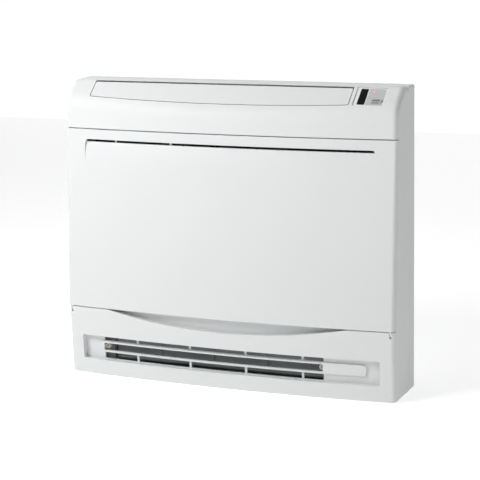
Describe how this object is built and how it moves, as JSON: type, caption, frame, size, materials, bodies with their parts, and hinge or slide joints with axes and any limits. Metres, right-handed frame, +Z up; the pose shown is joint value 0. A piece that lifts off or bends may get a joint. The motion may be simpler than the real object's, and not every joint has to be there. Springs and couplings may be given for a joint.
{
  "type": "floor console air conditioner",
  "caption": "White floor console air conditioner with bowed front panel, top outlet vane, lower outlet slots, display module and a turbo fan behind a flat coil.",
  "frame": {"origin": "middle of the footprint, on the floor", "axes": "+X to the viewer's right when facing the front, front faces -Y, wall side is +Y, +Z up"},
  "size_m": [0.7, 0.2098, 0.6],
  "materials": {
    "white_case": "fine matt white ABS",
    "white_panel": "satin white ABS",
    "rear_case": "matt white ABS",
    "dark_plastic": "dark grey moulded plastic",
    "duct_plastic": "grey moulded plastic",
    "fan_plastic": "grey glass filled plastic",
    "filter_plastic": "black moulded filter frame",
    "filter_net": "fine woven net",
    "bezel": "light grey satin plastic",
    "black_gloss": "black infrared window",
    "display_grey": "grey translucent display plate",
    "led": "pink lamp lens",
    "button": "grey push button",
    "fin_aluminium": "thin coated fin stock",
    "copper": "drawn copper tube",
    "brass": "machined brass",
    "galvanised": "galvanised sheet steel",
    "steel": "turned steel",
    "rubber": "black rubber",
    "board": "green circuit board",
    "components": "moulded electronic components"
  },
  "bodies": {
    "cabinet": {"front_cover": "white_case", "rear_casing": "rear_case", "wall_plate": "galvanised", "cable_grommet": "rubber", "upper_duct": "duct_plastic", "vane_motor": "galvanised", "lower_duct": "duct_plastic", "damper_motor": "galvanised", "filter_guide": "dark_plastic", "hx_fins": "fin_aluminium", "hx_end_plate_left": "galvanised", "hx_end_plate_right": "galvanised", "hx_tubes": "copper", "gas_pipe": "copper", "liquid_pipe": "copper", "pipe_unions": "brass", "drain_pan": "duct_plastic", "fan_orifice": "duct_plastic", "fan_motor": "galvanised", "motor_bushes": "rubber", "motor_bracket": "galvanised", "scroll_left": "duct_plastic", "scroll_right": "duct_plastic", "chassis_screws": "steel", "control_box": "galvanised", "control_box_cover": "galvanised", "main_board": "board", "board_parts": "components", "terminal_block": "components", "air_thermistor": "dark_plastic", "selector_housing": "dark_plastic", "display_bezel": "bezel", "ir_window": "black_gloss", "display_plate": "display_grey", "led_lens": "led", "display_board": "board", "grille_screws": "brass"},
    "front_panel": {"front_panel": "white_panel", "panel_pins": "steel", "panel_catches": "dark_plastic"},
    "top_vane": {"top_vane": "white_panel"},
    "lower_damper": {"lower_damper": "dark_plastic"},
    "fan": {"turbo_fan": "fan_plastic", "motor_shaft": "steel", "fan_nut": "steel"},
    "louver_link": {"louver_link": "dark_plastic"},
    "filter_left": {"filter_left": "filter_plastic", "mesh_left": "filter_net"},
    "filter_right": {"filter_right": "filter_plastic", "mesh_right": "filter_net"},
    "mode_button": {"mode_button": "button"},
    "outlet_selector": {"outlet_selector": "button"},
    "louver_1": {"louver_1": "dark_plastic"},
    "louver_2": {"louver_2": "dark_plastic"},
    "louver_3": {"louver_3": "dark_plastic"},
    "louver_4": {"louver_4": "dark_plastic"},
    "louver_5": {"louver_5": "dark_plastic"},
    "louver_6": {"louver_6": "dark_plastic"},
    "louver_7": {"louver_7": "dark_plastic"}
  },
  "joints": [
    {"name": "panel_hinge", "type": "hinge", "parent": "cabinet", "child": "front_panel", "pos_m": [0, -0.078, 0.136], "axis": [1, 0, 0], "range_deg": [0, 35]},
    {"name": "vane_hinge", "type": "hinge", "parent": "cabinet", "child": "top_vane", "pos_m": [0, -0.02966, 0.58289], "axis": [-1, 0, 0], "range_deg": [0, 65]},
    {"name": "damper_hinge", "type": "hinge", "parent": "cabinet", "child": "lower_damper", "pos_m": [0, -0.055, 0.033], "axis": [-1, 0, 0], "range_deg": [0, 80]},
    {"name": "fan_spin", "type": "hinge", "parent": "cabinet", "child": "fan", "pos_m": [-0.028, 0, 0.322], "axis": [0, 1, 0], "continuous": true},
    {"name": "louver_link_slide", "type": "slide", "parent": "cabinet", "child": "louver_link", "axis": [1, 0, 0], "range_m": [-0.0055, 0.0055]},
    {"name": "louver_1_pivot", "type": "hinge", "parent": "cabinet", "child": "louver_1", "pos_m": [-0.262, 0.018, 0.548], "axis": [0, -0.8321, -0.5547], "range_deg": [-25, 25]},
    {"name": "louver_2_pivot", "type": "hinge", "parent": "cabinet", "child": "louver_2", "pos_m": [-0.184, 0.018, 0.548], "axis": [0, -0.8321, -0.5547], "range_deg": [-25, 25]},
    {"name": "louver_3_pivot", "type": "hinge", "parent": "cabinet", "child": "louver_3", "pos_m": [-0.106, 0.018, 0.548], "axis": [0, -0.8321, -0.5547], "range_deg": [-25, 25]},
    {"name": "louver_4_pivot", "type": "hinge", "parent": "cabinet", "child": "louver_4", "pos_m": [-0.028, 0.018, 0.548], "axis": [0, -0.8321, -0.5547], "range_deg": [-25, 25]},
    {"name": "louver_5_pivot", "type": "hinge", "parent": "cabinet", "child": "louver_5", "pos_m": [0.05, 0.018, 0.548], "axis": [0, -0.8321, -0.5547], "range_deg": [-25, 25]},
    {"name": "louver_6_pivot", "type": "hinge", "parent": "cabinet", "child": "louver_6", "pos_m": [0.128, 0.018, 0.548], "axis": [0, -0.8321, -0.5547], "range_deg": [-25, 25]},
    {"name": "louver_7_pivot", "type": "hinge", "parent": "cabinet", "child": "louver_7", "pos_m": [0.206, 0.018, 0.548], "axis": [0, -0.8321, -0.5547], "range_deg": [-25, 25]},
    {"name": "filter_left_lift", "type": "slide", "parent": "cabinet", "child": "filter_left", "axis": [0, 0, 1], "range_m": [0, 0.008]},
    {"name": "filter_right_lift", "type": "slide", "parent": "cabinet", "child": "filter_right", "axis": [0, 0, 1], "range_m": [0, 0.008]},
    {"name": "mode_button_press", "type": "slide", "parent": "cabinet", "child": "mode_button", "axis": [0, 0.6345, -0.7729], "range_m": [0, 0.0012], "stiffness_N_per_m": 600},
    {"name": "outlet_selector_slide", "type": "slide", "parent": "cabinet", "child": "outlet_selector", "axis": [0, 0, 1], "range_m": [0, 0.008]}
  ],
  "couplings": [
    {"joint": "louver_1_pivot", "follows": "louver_link_slide", "rad_per_m": 76.923},
    {"joint": "louver_2_pivot", "follows": "louver_link_slide", "rad_per_m": 76.923},
    {"joint": "louver_3_pivot", "follows": "louver_link_slide", "rad_per_m": 76.923},
    {"joint": "louver_4_pivot", "follows": "louver_link_slide", "rad_per_m": 76.923},
    {"joint": "louver_5_pivot", "follows": "louver_link_slide", "rad_per_m": 76.923},
    {"joint": "louver_6_pivot", "follows": "louver_link_slide", "rad_per_m": 76.923},
    {"joint": "louver_7_pivot", "follows": "louver_link_slide", "rad_per_m": 76.923}
  ]
}
